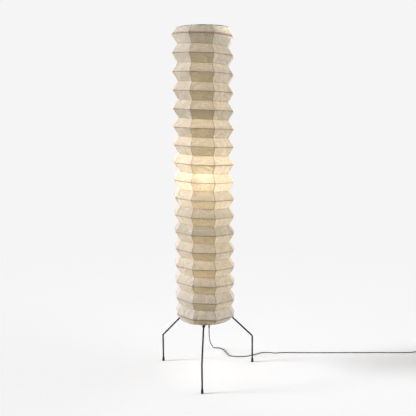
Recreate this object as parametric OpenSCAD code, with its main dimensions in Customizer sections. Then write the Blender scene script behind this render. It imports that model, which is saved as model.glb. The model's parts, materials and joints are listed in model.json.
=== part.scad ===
// Paper lantern floor lamp: a tall nine-sided paper bellows shade, kept open by one
// spiral rib and two wire rings, on three bent rod legs. A post on the hub carries the
// lampholder and bulb, and two stretcher rods hold the top ring up.
// Millimetres, +Z up, front of the lamp at -Y. The modules draw about the lamp's own
// axis, and placed() puts the origin at the centre of the feet's footprint on the floor.

/* [Shade] */
// Height of the paper's top edge above the floor
shade_top = 1920; // [1500:10:2200]
// Radius of the outward fold lines, at the corners
ridge_r = 170; // [160:1:190]
// Radius of the inward fold lines, at the corners
valley_r = 144.6; // [144:0.2:152]
// Number of flat sides round the shade
sides = 9; // [7:1:12]
// Turns of the spiral rib from top to bottom, an odd number
rib_turns = 33; // [25:2:41]
// Distance from the paper's top edge down to the start of the rib
rib_start_drop = 20.5; // [16:0.5:26]
// Height of the rib's lower end above the bottom ring's centre
rib_end_rise = 9; // [7:0.5:14]
// How much wider the folds are at the top than in the middle, as a share
rib_grade = 0.033; // [0:0.001:0.06]
// Thickness of the paper wall
paper_t = 0.6; // [0.4:0.1:1]
// Outward bow of each paper facet at its middle
facet_bow = 0.6; // [0:0.1:1.5]
// Diameter of the spiral rib's wire
rib_d = 2.4; // [1.6:0.1:2.8]
// Gap between the paper and the wire inside it
paper_gap = 0.3; // [0.2:0.05:0.4]

/* [Rings] */
// Centreline radius of the top and bottom rings
ring_r = 140; // [132:0.5:141]
// Diameter of the ring wire
ring_d = 4; // [3:0.5:5]
// Height of the paper hem that wraps each ring
hem_h = 4.4; // [3.6:0.2:6]
// Depth of the dips in the top hem, which bare the ring between corners
scallop = 3; // [0:0.5:3.4]

/* [Legs] */
// Radius of the circle that the feet stand on
foot_circle_r = 307; // [260:1:340]
// Direction of the front leg, in degrees from straight ahead
tripod_turn = -4; // [-10:1:10]
// Diameter of the leg rod
leg_d = 9; // [7:0.5:10]
// Distance from the ring's centreline out to the corner of the upper bend
elbow_out = 15; // [15:1:24]
// Height of the level arms that run in to the hub
arm_z = 314; // [306:1:330]
// Centreline radius of the bends
bend_r = 12; // [8:1:16]
// Height of a rubber foot
foot_h = 24; // [20:1:28]
// Width of a rubber foot at its widest
foot_d = 15; // [13:0.5:18]
// Rubber under the end of the rod
foot_sole = 6; // [4:0.5:8]

/* [Hub and post] */
// Radius of the hub
hub_r = 30; // [29:1:34]
// Thickness of the hub
hub_h = 30; // [26:1:34]
// Radial gap round rods that are pushed into bores
fit_gap = 0.1; // [0.05:0.01:0.15]
// Diameter of the post
post_d = 10; // [9:0.5:12]
// Width across the flats of the post nuts
nut_af = 17; // [16:1:19]
// Height of a post nut
nut_h = 5; // [4:0.5:6]
// Diameter of the set screws that clamp the legs
set_screw_d = 4; // [3:0.5:5]
// Distance of the set screws from the axis
set_screw_r = 17; // [15:0.5:22]

/* [Stretcher] */
// Distance of each stretcher rod from the axis
stretcher_x = 98; // [80:1:110]
// Diameter of the stretcher rods
stretcher_d = 5; // [4:0.5:6]
// Width of the flat bars
bar_w = 12; // [10:1:16]
// Thickness of the flat bars
bar_t = 3; // [2.5:0.5:4]
// Height of the cap nuts on the stretcher rods
cap_nut_h = 5; // [4:0.5:5]

/* [Lampholder and bulb] */
// Height of the middle of the bulb's globe
bulb_z = 1130; // [1000:5:1250]
// Diameter of the bulb's globe
globe_d = 60; // [50:1:62]
// Distance from the globe's middle down to the contact under the bulb's cap
bulb_drop = 78; // [74:1:84]
// Radius of the bulb's metal cap
bulb_cap_r = 13.2; // [13:0.1:13.4]
// Length of the bulb's threaded cap
bulb_cap_h = 23; // [21:0.5:25]
// Wall of the glass globe
glass_t = 1; // [0.8:0.1:1.5]
// Outer radius of the lampholder's skirt
holder_r = 20; // [19:0.5:22]
// Wall of the lampholder's skirt
holder_wall = 2; // [1.5:0.1:2.5]
// Height of the lampholder's bottom cap
holder_cap_h = 16; // [14:1:20]
// Gap between the bulb's cap and the threaded shell
screw_gap = 0.35; // [0.3:0.05:0.5]

/* [Cord] */
// Diameter of the cord
cord_d = 5; // [4.6:0.1:5.2]
// Gap between the cord and the bores that it runs through
cord_gap = 0.2; // [0.15:0.05:0.3]
// Length of the tapered strain relief under the hub
gland_len = 40; // [34:1:44]
// Turns of the stored coil, a whole number and a half
coil_turns = 5.5; // [3.5:1:7.5]
// Radius of the middle of the coil's turns
coil_mid_r = 27.5; // [26:0.5:30]
// Distance between neighbouring turns of the coil
coil_pitch = 5.7; // [5.6:0.1:6]
// Thickness of the tie round the coil
tie_t = 0.8; // [0.6:0.1:1]
// Width of the tie
tie_w = 8; // [6:1:10]

/* [Switch] */
// Length of the switch housing
switch_len = 64; // [58:1:70]
// Width of the switch housing
switch_w = 26; // [24:1:30]
// Height of the switch housing
switch_h = 20; // [18:1:24]
// Wall of the switch housing
switch_wall = 2; // [1.6:0.1:2.4]
// Length of the rocker
rocker_len = 22; // [20:1:26]
// Width of the rocker
rocker_w = 12; // [10:1:14]
// Tilt of the rocker to either side
rocker_tilt = 9; // [6:1:10]

/* [Plug] */
// Length of the plug's body
plug_len = 36; // [34:1:40]
// Width of the plug's body at the pins
plug_w = 34; // [32:1:36]
// Thickness of the plug's body
plug_t = 14; // [13:0.5:15]
// Diameter of the plug's pins
plug_pin_d = 4; // [3.9:0.05:4.1]
// Length of the plug's pins outside the body
plug_pin_len = 19; // [18.5:0.1:19.5]
// Distance between the plug's pins
plug_pin_gap = 19; // [18.6:0.1:19]
// Length of the full-diameter tip of a pin
pin_tip_len = 9.5; // [8:0.5:11]
// Diameter of a pin between its tip and its root in the body
pin_root_d = 3.6; // [3.4:0.1:3.8]

/* [Hidden] */
$fn = 64;

// Clearance between a seated piece and its seat
seat = 0.3;
// Thirds of a turn between the legs
third = 120;

// ---- Shade: the rib is one spiral. Its odd turns are ridges and its even turns
// valleys; it steps from one to the other in the facet left of the back corner.
step = 360 / sides;
sub = 2;
cols = sides * sub;
last = rib_turns * cols;
rim_n = 2 * cols;
ring_top_z = shade_top - ring_d / 2 - 0.8;
clip_bore_r = leg_d / 2 + fit_gap;
clip_plate = 1.2;
clip_r = clip_bore_r + clip_plate;
ring_bottom_z = arm_z + clip_r + seat + ring_d / 2;
hem_bottom = ring_bottom_z - ring_d / 2 + seat / 2;
rib_top_z = shade_top - rib_start_drop;
rib_drop = rib_top_z - ring_bottom_z - rib_end_rise;
hem_in_r = (ring_r + ring_d / 2 + paper_gap) / cos(180 / rim_n);
hem_out_r = hem_in_r + paper_t;
fold_wall = 1.25 * paper_t;
rib_in_ridge = fold_wall + 1.25 * (rib_d / 2 + paper_gap);
rib_in_valley = fold_wall + 1.1 * (rib_d / 2 + paper_gap);

// A point at radius r and height z; 0 degrees is the front, turning towards +X
function polar(r, a, z) = [r * sin(a), -r * cos(a), z];
function rib_z(turn) = rib_top_z
    - rib_drop * turn / rib_turns * (1 + rib_grade * (1 - turn / rib_turns));
function turn_r(k) = k % 2 == 0 ? ridge_r : valley_r;
// Corner j of the rib, moved inwards by in_ridge or in_valley
function corner(j, in_ridge, in_valley) =
    let (k = floor(j / sides))
    polar(turn_r(k) - (k % 2 == 0 ? in_ridge : in_valley), -180 + j * step,
        rib_z(j / sides));
// Point i on the fold line: every second one is the bowed middle of a facet
function fold(i, inward) = i % sub == 0
    ? corner(i / sub, inward, inward)
    : let (a = -180 + i * step / sub,
            p = corner(floor(i / sub), inward, inward),
            q = corner(floor(i / sub) + 1, inward, inward))
        (p + q) / 2 + polar(facet_bow, a, 0);
function rim(r, z, dip) = [for (k = [0:rim_n - 1])
    let (s = sin(180 * k / 4)) polar(r, -180 + k * 360 / rim_n, z - dip * s * s)];
// One face of the paper: top edge, top fold, spiral, bottom fold, bottom edge
function paper_face(inward) =
    let (r = hem_out_r - (inward > 0 ? paper_t : 0))
    concat(rim(r, shade_top, scallop), rim(r, shade_top - hem_h, 0),
        [for (i = [0:last]) fold(i, inward)],
        rim(r, hem_bottom + hem_h, 0), rim(r, hem_bottom, 0));

top_fold = rim_n;
spiral = 2 * rim_n;
bottom_fold = spiral + last + 1;
bottom_edge = bottom_fold + rim_n;
face_n = bottom_edge + rim_n;

function quad(a, b, c, d) = [[a, b, c], [a, c, d]];
function band(upper, lower) = [for (k = [0:rim_n - 1]) let (n = (k + 1) % rim_n)
    each quad(upper + k, upper + n, lower + n, lower + k)];
// Between the top fold and the first turn, closing on the rib's own start
top_band = [for (k = [0:cols - 1])
    let (f0 = top_fold + 2 * k, f2 = top_fold + (2 * k + 2) % rim_n, p = spiral + k)
    each k < cols - 1
        ? [[f0, f0 + 1, p], [f0 + 1, p + 1, p], [f0 + 1, f2, p + 1]]
        : [[f0, f0 + 1, p], [f0 + 1, spiral, p], [f0 + 1, f2, spiral],
            [spiral, p + 1, p]]];
spiral_band = [for (i = [0:last - cols - 1])
    each quad(spiral + i, spiral + i + 1, spiral + i + cols + 1, spiral + i + cols)];
// Between the last turn and the bottom fold, starting on the rib's own end
bottom_band = [for (k = [0:cols - 1])
    let (f0 = bottom_fold + 2 * k, f2 = bottom_fold + (2 * k + 2) % rim_n,
        p = spiral + last - cols + k)
    each k > 0
        ? [[p, f0 + 1, f0], [p, p + 1, f0 + 1], [p + 1, f2, f0 + 1]]
        : [[p, spiral + last, p + 1], [spiral + last, f0 + 1, p + 1],
            [spiral + last, f0, f0 + 1], [p + 1, f0 + 1, f2]]];
one_face = concat(band(0, top_fold), top_band, spiral_band, bottom_band,
    band(bottom_fold, bottom_edge));
paper_faces = concat(
    one_face,
    [for (t = one_face) [t[2] + face_n, t[1] + face_n, t[0] + face_n]],
    [for (k = [0:rim_n - 1]) let (n = (k + 1) % rim_n)
        each quad(k, k + face_n, n + face_n, n)],
    [for (k = [0:rim_n - 1]) let (n = (k + 1) % rim_n, e = bottom_edge)
        each quad(e + n, e + n + face_n, e + k + face_n, e + k)]);

module shade_paper() {
    color([0.93, 0.86, 0.72])
        polyhedron(concat(paper_face(0), paper_face(fold_wall)), paper_faces);
}

// ---- A tube along a path: ring i of n sides has its centre at path[i] and is spanned
// by side_dir[i] and up_dir[i]
function tube_points(path, side_dir, up_dir, r, n) = [for (i = [0:len(path) - 1])
    for (s = [0:n - 1]) let (a = 360 * (s + 0.5) / n)
        path[i] + r * cos(a) * side_dir[i] + r * sin(a) * up_dir[i]];
function tube_faces(m, n) = concat(
    [[for (s = [0:n - 1]) s]],
    [for (i = [0:m - 2]) for (s = [0:n - 1]) let (t = (s + 1) % n, a = i * n)
        each quad(a + s, a + n + s, a + n + t, a + t)],
    [[for (s = [n - 1:-1:0]) (m - 1) * n + s]]);

rib_sides = 6;
rib_corners = rib_turns * sides;
rib_path = [for (j = [0:rib_corners]) corner(j, rib_in_ridge, rib_in_valley)];
// The rib bends at each corner, so its ring there is stretched to the mitre
rib_out = [for (j = [0:rib_corners]) polar(1 / cos(step / 2), -180 + j * step, 0)];
rib_up = [for (j = [0:rib_corners]) [0, 0, 1]];

module shade_rib() {
    color([0.72, 0.6, 0.42])
        polyhedron(tube_points(rib_path, rib_out, rib_up, rib_d / 2, rib_sides),
            tube_faces(rib_corners + 1, rib_sides));
}

module wire_ring(z) {
    color([0.16, 0.16, 0.17])
        translate([0, 0, z]) rotate_extrude($fn = 96)
            translate([ring_r, 0]) circle(d = ring_d, $fn = 32);
}

// ---- Legs: drawn in the plane of one leg, x outwards and y up
elbow_r = ring_r + elbow_out;
knee_z = arm_z - (foot_circle_r - elbow_r);
hub_bottom = arm_z - hub_h / 2;
hub_top = arm_z + hub_h / 2;
leg_tip_r = post_d / 2 + 4;
bend_in = bend_r * tan(22.5);
slope_len = (foot_circle_r - elbow_r) * sqrt(2);
rod_lap = 0.6;
bend_swell = 0.16;

module at_leg(i) {
    rotate([0, 0, tripod_turn + i * third - 90]) children();
}

// A straight run of rod along +Z that reaches a little way into the bend at each end
module rod(len) {
    translate([0, 0, -rod_lap]) cylinder(d = leg_d, h = len + 2 * rod_lap);
}

// A bend of 45 degrees that starts along +Z at the origin and turns towards -X. The
// rod swells by bend_swell where it is bent
module rod_bend() {
    translate([-bend_r, 0, 0]) rotate([90, 0, 0]) rotate_extrude(angle = 45)
        translate([bend_r, 0]) circle(d = leg_d + bend_swell, $fn = 32);
}

module leg(i) {
    slope_run = slope_len - 2 * bend_in;
    color([0.05, 0.05, 0.055]) at_leg(i) {
        translate([foot_circle_r, 0, foot_sole + rod_lap])
            rod(knee_z - bend_in - foot_sole - rod_lap);
        translate([foot_circle_r, 0, knee_z - bend_in]) rod_bend();
        translate([foot_circle_r, 0, knee_z]) rotate([0, -45, 0])
            translate([0, 0, bend_in]) {
                rod(slope_run);
                translate([0, 0, slope_run]) rod_bend();
            }
        translate([leg_tip_r + rod_lap, 0, arm_z]) rotate([0, 90, 0])
            rod(elbow_r - bend_in - leg_tip_r - rod_lap);
    }
}

module foot(i) {
    bore_r = leg_d / 2 + fit_gap;
    color([0.03, 0.03, 0.03]) at_leg(i) translate([foot_circle_r, 0, 0])
        rotate_extrude() polygon([
            [0, 0], [foot_d / 2 - 1.5, 0], [foot_d / 2, 1.5], [foot_d / 2, foot_h * 0.3],
            [leg_d / 2 + 2.2, foot_h * 0.62], [leg_d / 2 + 1.4, foot_h - 1],
            [leg_d / 2 + 0.9, foot_h], [bore_r, foot_h], [bore_r, foot_sole],
            [0, foot_sole]]);
}

// ---- Hub, post and nuts
// The cord runs down through the hub between the front and right legs
lead_x = 20;
lead_y = -8;
lead_bore_r = cord_d / 2 + cord_gap;
low_bevel = 4;
top_bevel = 8;

module hub() {
    color([0.06, 0.06, 0.065]) difference() {
        translate([0, 0, hub_bottom]) rotate_extrude() polygon([
            [0, 0], [hub_r - low_bevel, 0], [hub_r, low_bevel], [hub_r, hub_h - top_bevel],
            [hub_r - top_bevel, hub_h], [0, hub_h]]);
        translate([0, 0, hub_bottom - 1]) cylinder(r = post_d / 2 + fit_gap, h = hub_h + 2);
        translate([lead_x, lead_y, hub_bottom - 1]) cylinder(r = lead_bore_r, h = hub_h + 2);
        for (i = [0:2]) at_leg(i) {
            translate([leg_tip_r - seat, 0, arm_z]) rotate([0, 90, 0])
                cylinder(r = leg_d / 2 + fit_gap, h = hub_r);
            translate([set_screw_r, 0, hub_bottom - 1])
                cylinder(r = set_screw_d / 2 + fit_gap, h = hub_h / 2);
        }
    }
}

module hub_set_screws() {
    // The head end is flush with the hub and the tip stops under the leg
    len = hub_h / 2 - leg_d / 2 - seat;
    color([0.45, 0.45, 0.46]) for (i = [0:2]) at_leg(i)
        translate([set_screw_r, 0, hub_bottom]) difference() {
            cylinder(d = set_screw_d, h = len);
            translate([0, 0, -1]) cylinder(d = set_screw_d / 2, h = 3, $fn = 6);
        }
}

module hex_nut(af, height, bore_r) {
    difference() {
        cylinder(r = af / 2 / cos(30), h = height, $fn = 6);
        translate([0, 0, -1]) cylinder(r = bore_r, h = height + 2);
    }
}

module post_locknut() {
    color([0.5, 0.5, 0.52]) translate([0, 0, hub_bottom - nut_h])
        hex_nut(nut_af, nut_h, post_d / 2 + fit_gap);
}

arm_top = hub_top + bar_t;

module arm_locknut() {
    color([0.5, 0.5, 0.52]) translate([0, 0, arm_top])
        hex_nut(nut_af, nut_h, post_d / 2 + fit_gap);
}

contact_z = bulb_z - bulb_drop;
// Height of the holder's room under the contact, the plastic left over the post's end,
// and the post's end below its nut
holder_room = 24;
cap_roof = 4;
post_tail = 3;
holder_base = contact_z - holder_room - holder_cap_h;
post_top = holder_base + holder_cap_h - cap_roof;
post_bottom = hub_bottom - nut_h - post_tail;

post_wall = 1.5;

module post() {
    color([0.3, 0.3, 0.31]) translate([0, 0, post_bottom]) difference() {
        cylinder(d = post_d, h = post_top - post_bottom);
        translate([0, 0, -1]) cylinder(d = post_d - 2 * post_wall, h = post_top - post_bottom + 2);
    }
}

// ---- Stretcher: two rods between a bar on the hub and a bridge under the top ring
bridge_top = ring_top_z - ring_d / 2 - seat;
bridge_len = 2 * (ring_r + ring_d / 2);
lip_out = ring_r - ring_d / 2 - paper_gap;
lip_t = 2;
rod_bore_r = stretcher_d / 2 + fit_gap;
// Corner radius of the cap nuts, the metal over their blind bores, and how far the
// stretcher rods reach into them
cap_nut_r = 4.6;
cap_nut_crown = 0.8;
rod_reach = cap_nut_h - cap_nut_crown - seat;

module flat_bar(len) {
    intersection() {
        translate([-len / 2, -bar_w / 2, 0]) cube([len, bar_w, bar_t]);
        cylinder(d = len, h = bar_t, $fn = 96);
    }
}

module bottom_arm() {
    color([0.3, 0.3, 0.31]) translate([0, 0, hub_top]) difference() {
        flat_bar(2 * stretcher_x + bar_w);
        translate([0, 0, -1]) cylinder(r = post_d / 2 + fit_gap, h = bar_t + 2);
        for (s = [-1, 1]) translate([s * stretcher_x, 0, -1])
            cylinder(r = rod_bore_r, h = bar_t + 2);
    }
}

// The ends carry the ring, and a lip inside the ring keeps it centred
module top_bridge() {
    color([0.3, 0.3, 0.31]) {
        translate([0, 0, bridge_top - bar_t]) difference() {
            flat_bar(bridge_len);
            for (s = [-1, 1]) translate([s * stretcher_x, 0, -1])
                cylinder(r = rod_bore_r, h = bar_t + 2);
        }
        for (s = [-1, 1]) mirror([s < 0 ? 1 : 0, 0, 0])
            translate([lip_out - lip_t, -bar_w / 4, bridge_top - 1])
                cube([lip_t, bar_w / 2, ring_d]);
    }
}

module stretcher(s) {
    color([0.3, 0.3, 0.31]) translate([s * stretcher_x, 0, hub_top - rod_reach])
        cylinder(d = stretcher_d, h = bridge_top - hub_top + 2 * rod_reach);
}

module cap_nut() {
    difference() {
        union() {
            cylinder(r = cap_nut_r, h = cap_nut_h * 0.6, $fn = 6);
            cylinder(r1 = cap_nut_r - 0.7, r2 = cap_nut_r - 1.4, h = cap_nut_h);
        }
        translate([0, 0, -1]) cylinder(r = rod_bore_r, h = cap_nut_h - cap_nut_crown + 1);
    }
}

module stretcher_nuts() {
    color([0.5, 0.5, 0.52]) for (s = [-1, 1]) translate([s * stretcher_x, 0, 0]) {
        translate([0, 0, bridge_top]) cap_nut();
        translate([0, 0, hub_top]) mirror([0, 0, 1]) cap_nut();
    }
}

// ---- Clips: a collar on the leg's level arm with a prong on each side of the ring
prong_w = 6;
prong_inner = 12;

module ring_clip(i) {
    inner = lip_out - clip_plate;
    outer = hem_out_r + seat;
    color([0.12, 0.13, 0.17]) at_leg(i) difference() {
        union() {
            translate([inner, 0, arm_z]) rotate([0, 90, 0])
                cylinder(r = clip_r, h = outer + clip_plate - inner);
            translate([inner, -prong_w / 2, arm_z])
                cube([clip_plate, prong_w, clip_r + prong_inner]);
            translate([outer, -prong_w / 2, arm_z])
                cube([clip_plate, prong_w, clip_r + hem_h]);
        }
        translate([inner - 1, 0, arm_z]) rotate([0, 90, 0])
            cylinder(r = clip_bore_r, h = outer + clip_plate + 2 - inner);
    }
}

// ---- Lampholder: cap on the post, skirt, insulator, threaded shell and contact
lug_r = cord_d / 2 + 3;
skirt_base = holder_base + holder_cap_h;
insert_r = holder_r - holder_wall - seat;
insert_top = contact_z - 4;
shell_r = bulb_cap_r + screw_gap;
// Wall of the threaded shell, height of the insulator's base, radius of the room for the
// terminals under it, and how far the shell stops below the skirt's rim
shell_t = 0.7;
insert_base_h = 10;
terminal_r = 4;
rim_in = 4;

module holder_cap() {
    color([0.07, 0.07, 0.07]) difference() {
        union() {
            translate([0, 0, holder_base]) rotate_extrude() polygon([
                [0, 0], [holder_r - 8, 0], [holder_r, 8], [holder_r, holder_cap_h],
                [0, holder_cap_h]]);
            translate([lead_x, lead_y, holder_base - 2]) cylinder(r = lug_r, h = holder_cap_h);
        }
        translate([0, 0, holder_base - 1])
            cylinder(r = post_d / 2 + fit_gap, h = post_top + seat - holder_base + 1);
        translate([lead_x, lead_y, holder_base - 3])
            cylinder(r = lead_bore_r, h = holder_cap_h - 3);
    }
}

module holder_skirt() {
    h = contact_z + bulb_cap_h - skirt_base;
    color([0.07, 0.07, 0.07]) translate([0, 0, skirt_base]) rotate_extrude() polygon([
        [holder_r - holder_wall, 0], [holder_r, 0], [holder_r, h * 0.55],
        [holder_r - 1, h * 0.6], [holder_r - 1, h - 1], [holder_r - 2, h],
        [shell_r + 1.2, h], [shell_r + 1.2, h - 2], [holder_r - holder_wall, h - rim_in]]);
}

module holder_insert() {
    color([0.9, 0.89, 0.86]) translate([0, 0, skirt_base]) difference() {
        union() {
            cylinder(r = insert_r, h = insert_base_h);
            cylinder(r = shell_r - 1.5, h = insert_top - skirt_base);
        }
        translate([0, 0, -1]) cylinder(r = terminal_r, h = insert_base_h - 1);
    }
}

module holder_shell() {
    shell_h = contact_z + bulb_cap_h - rim_in - skirt_base - insert_base_h;
    color([0.78, 0.62, 0.32]) translate([0, 0, skirt_base + insert_base_h]) difference() {
        cylinder(r = shell_r + shell_t, h = shell_h);
        translate([0, 0, -1]) cylinder(r = shell_r, h = shell_h + 2);
    }
}

module holder_contact() {
    color([0.8, 0.65, 0.35]) translate([0, 0, insert_top])
        rotate_extrude() polygon([[0, 0], [4, 0], [4, 0.8], [2.5, 0.8],
            [2.5, contact_z - insert_top - seat], [0, contact_z - insert_top - seat]]);
}

// ---- Bulb
neck_z = contact_z + bulb_cap_h + 2;
neck_r = bulb_cap_r - 1;

module bulb_cap() {
    color([0.75, 0.75, 0.76]) translate([0, 0, contact_z]) rotate_extrude() polygon([
        [0, 0], [4.5, 0], [5, 2], [bulb_cap_r - 2, 4], [bulb_cap_r, 6],
        [bulb_cap_r, bulb_cap_h], [bulb_cap_r + 0.6, neck_z - contact_z],
        [neck_r + seat, neck_z - contact_z], [neck_r + seat, 10], [0, 10]]);
}

// Half outline of the globe, from the neck to the crown, drawn in by inset
function globe_outline(inset) = let (r = globe_d / 2 - inset) concat(
    [[neck_r - inset, contact_z + 11], [neck_r - inset, neck_z + 2]],
    [for (a = [-50:10:80]) [r * cos(a), bulb_z + r * sin(a)]],
    [[0, bulb_z + r]]);

module bulb_globe() {
    outside = globe_outline(0);
    inside = globe_outline(glass_t);
    n = len(inside);
    color([0.98, 0.95, 0.88]) rotate_extrude()
        polygon(concat(outside, [for (i = [n - 1:-1:0]) inside[i]]));
}

// ---- Cord: the lead beside the post, then the strain relief and the free cord
gland_mouth = hub_bottom - gland_len;
lead_top = holder_base + holder_cap_h / 2;
// Rubber round the cord at the relief's tip, neck and rim, and its flange's thickness
gland_tip = 1;
gland_neck = 2.6;
gland_rim = 4.5;
flange = 4;

module inner_lead() {
    color([0.2, 0.2, 0.21]) translate([lead_x, lead_y, gland_mouth])
        cylinder(d = cord_d, h = lead_top - gland_mouth);
}

module cord_gland() {
    color([0.08, 0.08, 0.08]) translate([lead_x, lead_y, gland_mouth]) difference() {
        rotate_extrude() polygon([
            [0, 0], [cord_d / 2 + gland_tip, 0], [cord_d / 2 + gland_neck, gland_len - flange - 1],
            [cord_d / 2 + gland_rim, gland_len - flange], [cord_d / 2 + gland_rim, gland_len],
            [0, gland_len]]);
        translate([0, 0, -1]) cylinder(r = lead_bore_r, h = gland_len + 2);
    }
}

clip_heights = [480, 660, 840];
clip_h = 8;
post_collar_r = post_d / 2 + 2;
lead_collar_r = cord_d / 2 + 2;
lead_away = norm([lead_x, lead_y]);
// The web between the two collars ends inside their walls, clear of both bores
web_from = post_collar_r - 1;
web_to = lead_away - lead_collar_r + 0.9;

module lead_clips() {
    color([0.12, 0.12, 0.12]) for (z = clip_heights)
        translate([0, 0, z]) rotate([0, 0, atan2(lead_y, lead_x)]) {
            difference() {
                cylinder(r = post_collar_r, h = clip_h);
                translate([0, 0, -1]) cylinder(r = post_d / 2 + fit_gap, h = clip_h + 2);
            }
            difference() {
                translate([lead_away, 0, 0]) cylinder(r = lead_collar_r, h = clip_h);
                translate([lead_away, 0, -1]) cylinder(r = lead_bore_r, h = clip_h + 2);
            }
            translate([web_from, -2, 1]) cube([web_to - web_from, 4, clip_h - 2]);
        }
}

cord_r = cord_d / 2;
cord_sides = 8;

// A smooth curve through the points p, with n rings from each point to the next
function spline_at(p, i, t) =
    let (a = p[max(i - 1, 0)], b = p[i], c = p[i + 1], d = p[min(i + 2, len(p) - 1)])
    (2 * b + t * (c - a) + t * t * (2 * a - 5 * b + 4 * c - d)
        + t * t * t * (3 * b - a - 3 * c + d)) / 2;
function spline(p, n) = concat(
    [for (i = [0:len(p) - 2]) for (k = [0:n - 1]) spline_at(p, i, k / n)],
    [p[len(p) - 1]]);
function unit(v) = v / norm(v);
function along(path, i, first, end) = i == 0 ? first : i == len(path) - 1 ? end
    : unit(path[i + 1] - path[i - 1]);
// Rings that don't twist: each side direction is the last one made square to the path
function sides_of(dirs, i, v) = i == len(dirs) ? []
    : let (s = unit(v - (v * dirs[i]) * dirs[i])) concat([s], sides_of(dirs, i + 1, s));

module cord_tube(path, first, end, side) {
    dirs = [for (i = [0:len(path) - 1]) along(path, i, first, end)];
    s = sides_of(dirs, 0, side);
    u = [for (i = [0:len(path) - 1]) cross(s[i], dirs[i])];
    color([0.2, 0.2, 0.21]) polyhedron(tube_points(path, s, u, cord_r, cord_sides),
        tube_faces(len(path), cord_sides));
}

// Down and back from the gland to the floor behind the lamp, forward to the right, and
// along the floor to the switch
run_points = [
    [20, -8, 245], [20, -2, 230], [20, 14, 213], [21, 60, 184], [23, 120, 152],
    [25, 190, 117], [28, 260, 78], [38, 308, 44], [46, 346, 17], [60, 366, 5],
    [79, 371, 3], [97, 359, 3], [112, 330, 3], [125, 284, 3], [136, 250, 3], [152, 226, 3],
    [200, 216, 3], [248, 220, 3], [290, 241, 3], [346, 278, 3], [390, 277, 3],
    [425, 267, 3], [475, 273, 3], [600, 268, 3], [760, 262, 3], [920, 258, 3],
    [1080, 253, 3], [1200, 249, 3], [1260, 248, 4], [1290, 248, 8]];
run_rings = 2;
switch_x = 1306;
switch_y = 248;
entry_z = 9;
run_path = concat([[lead_x, lead_y, gland_mouth]],
    [[lead_x, lead_y, gland_mouth - cord_d]], spline(run_points, run_rings),
    [[switch_x - cord_d, switch_y, entry_z], [switch_x, switch_y, entry_z]]);

module cord_run() {
    cord_tube(run_path, [0, 0, -1], [1, 0, 0], [1, 0, 0]);
}

// ---- Coil: in on the lower layer, out on the upper one, wound clockwise from above
coil_x = 1404;
half_turns = coil_turns / 2;
coil_out_r = coil_mid_r + coil_pitch * half_turns / 2;
coil_y = switch_y - coil_out_r;
coil_z = tie_t + seat + cord_r;
coil_rings = 24;
coil_sides = 6;
climb = 0.5;
function coil_r(t) = coil_out_r - coil_pitch * (half_turns - abs(t - half_turns));
function coil_rise(t) = let (u = (t - half_turns) / climb + 0.5, s = min(max(u, 0), 1))
    coil_pitch * s * s * (3 - 2 * s);
function coil_at(t) = [coil_x + coil_r(t) * sin(360 * t),
    coil_y + coil_r(t) * cos(360 * t), coil_z + coil_rise(t)];
coil_n = coil_turns * coil_rings;
coil_in = [coil_x, coil_y + coil_out_r, coil_z];
coil_end = coil_at(coil_turns);
coil_path = concat([coil_in - [cord_d, 0, 0]],
    [for (i = [0:coil_n]) coil_at(i / coil_rings)],
    [coil_end - [cord_d, 0, 0]]);
coil_first = coil_path[0];
coil_last = coil_path[len(coil_path) - 1];
coil_gap = min([for (i = [0:coil_n]) for (j = [i + coil_rings / 2:coil_n])
    norm(coil_at(i / coil_rings) - coil_at(j / coil_rings))]) - cord_d;
echo(least_gap_in_coil = coil_gap);

module cord_coil() {
    n = len(coil_path) - 1;
    dirs = [for (i = [0:n]) along(coil_path, i, [1, 0, 0], [-1, 0, 0])];
    s = sides_of(dirs, 0, [0, 1, 0]);
    u = [for (i = [0:n]) cross(s[i], dirs[i])];
    color([0.2, 0.2, 0.21]) polyhedron(tube_points(coil_path, s, u, cord_r, coil_sides),
        tube_faces(n + 1, coil_sides));
}

// A flat band round the coil's turns at its left side
module cord_tie() {
    inner_r = coil_out_r - coil_pitch * half_turns;
    w = coil_out_r - inner_r + cord_d + 2 * seat;
    h = coil_pitch + cord_d + 2 * seat;
    color([0.1, 0.1, 0.1])
        translate([coil_x - (coil_out_r + inner_r) / 2, coil_y, coil_z + coil_pitch / 2])
            rotate([90, 0, 0]) difference() {
                translate([-w / 2 - tie_t, -h / 2 - tie_t, -tie_w / 2])
                    cube([w + 2 * tie_t, h + 2 * tie_t, tie_w]);
                translate([-w / 2, -h / 2, -tie_w / 2 - 1]) cube([w, h, tie_w + 2]);
            }
}

// ---- Switch: two half shells, a rocker and two screws
split_z = 11;
rocker_z = switch_h - 2.5;
switch_mid = switch_x + switch_len / 2;
boss_x = switch_len / 2 - 9;
link_points = [[switch_x + switch_len, switch_y, entry_z],
    [switch_x + switch_len + cord_d, switch_y, entry_z],
    [switch_x + switch_len + 14, switch_y, 7], coil_first - [cord_d, 0, 0], coil_first];

module cord_link() {
    path = concat([link_points[0]],
        spline([for (i = [1:3]) link_points[i]], 3), [link_points[4]]);
    cord_tube(path, [1, 0, 0], [1, 0, 0], [0, 1, 0]);
}

module switch_outline(inset) {
    offset_r = 8 - inset;
    len = switch_len / 2 - inset - offset_r;
    w = switch_w / 2 - inset - offset_r;
    for (sx = [-1, 1]) for (sy = [-1, 1])
        translate([sx * len, sy * w]) circle(r = offset_r, $fn = 48);
    square([2 * len, 2 * (w + offset_r)], center = true);
    square([2 * (len + offset_r), 2 * w], center = true);
}

module switch_base() {
    color([0.09, 0.09, 0.09]) translate([switch_mid, switch_y, 0]) difference() {
        union() {
            difference() {
                linear_extrude(split_z) switch_outline(0);
                translate([0, 0, switch_wall]) linear_extrude(split_z)
                    switch_outline(switch_wall);
            }
            for (s = [-1, 1]) translate([s * boss_x, s * 7, 1])
                cylinder(r = 3, h = split_z - 1);
        }
        for (s = [-1, 1]) translate([s * boss_x, s * 7, 3]) cylinder(r = 1.2, h = split_z);
    }
}

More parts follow.
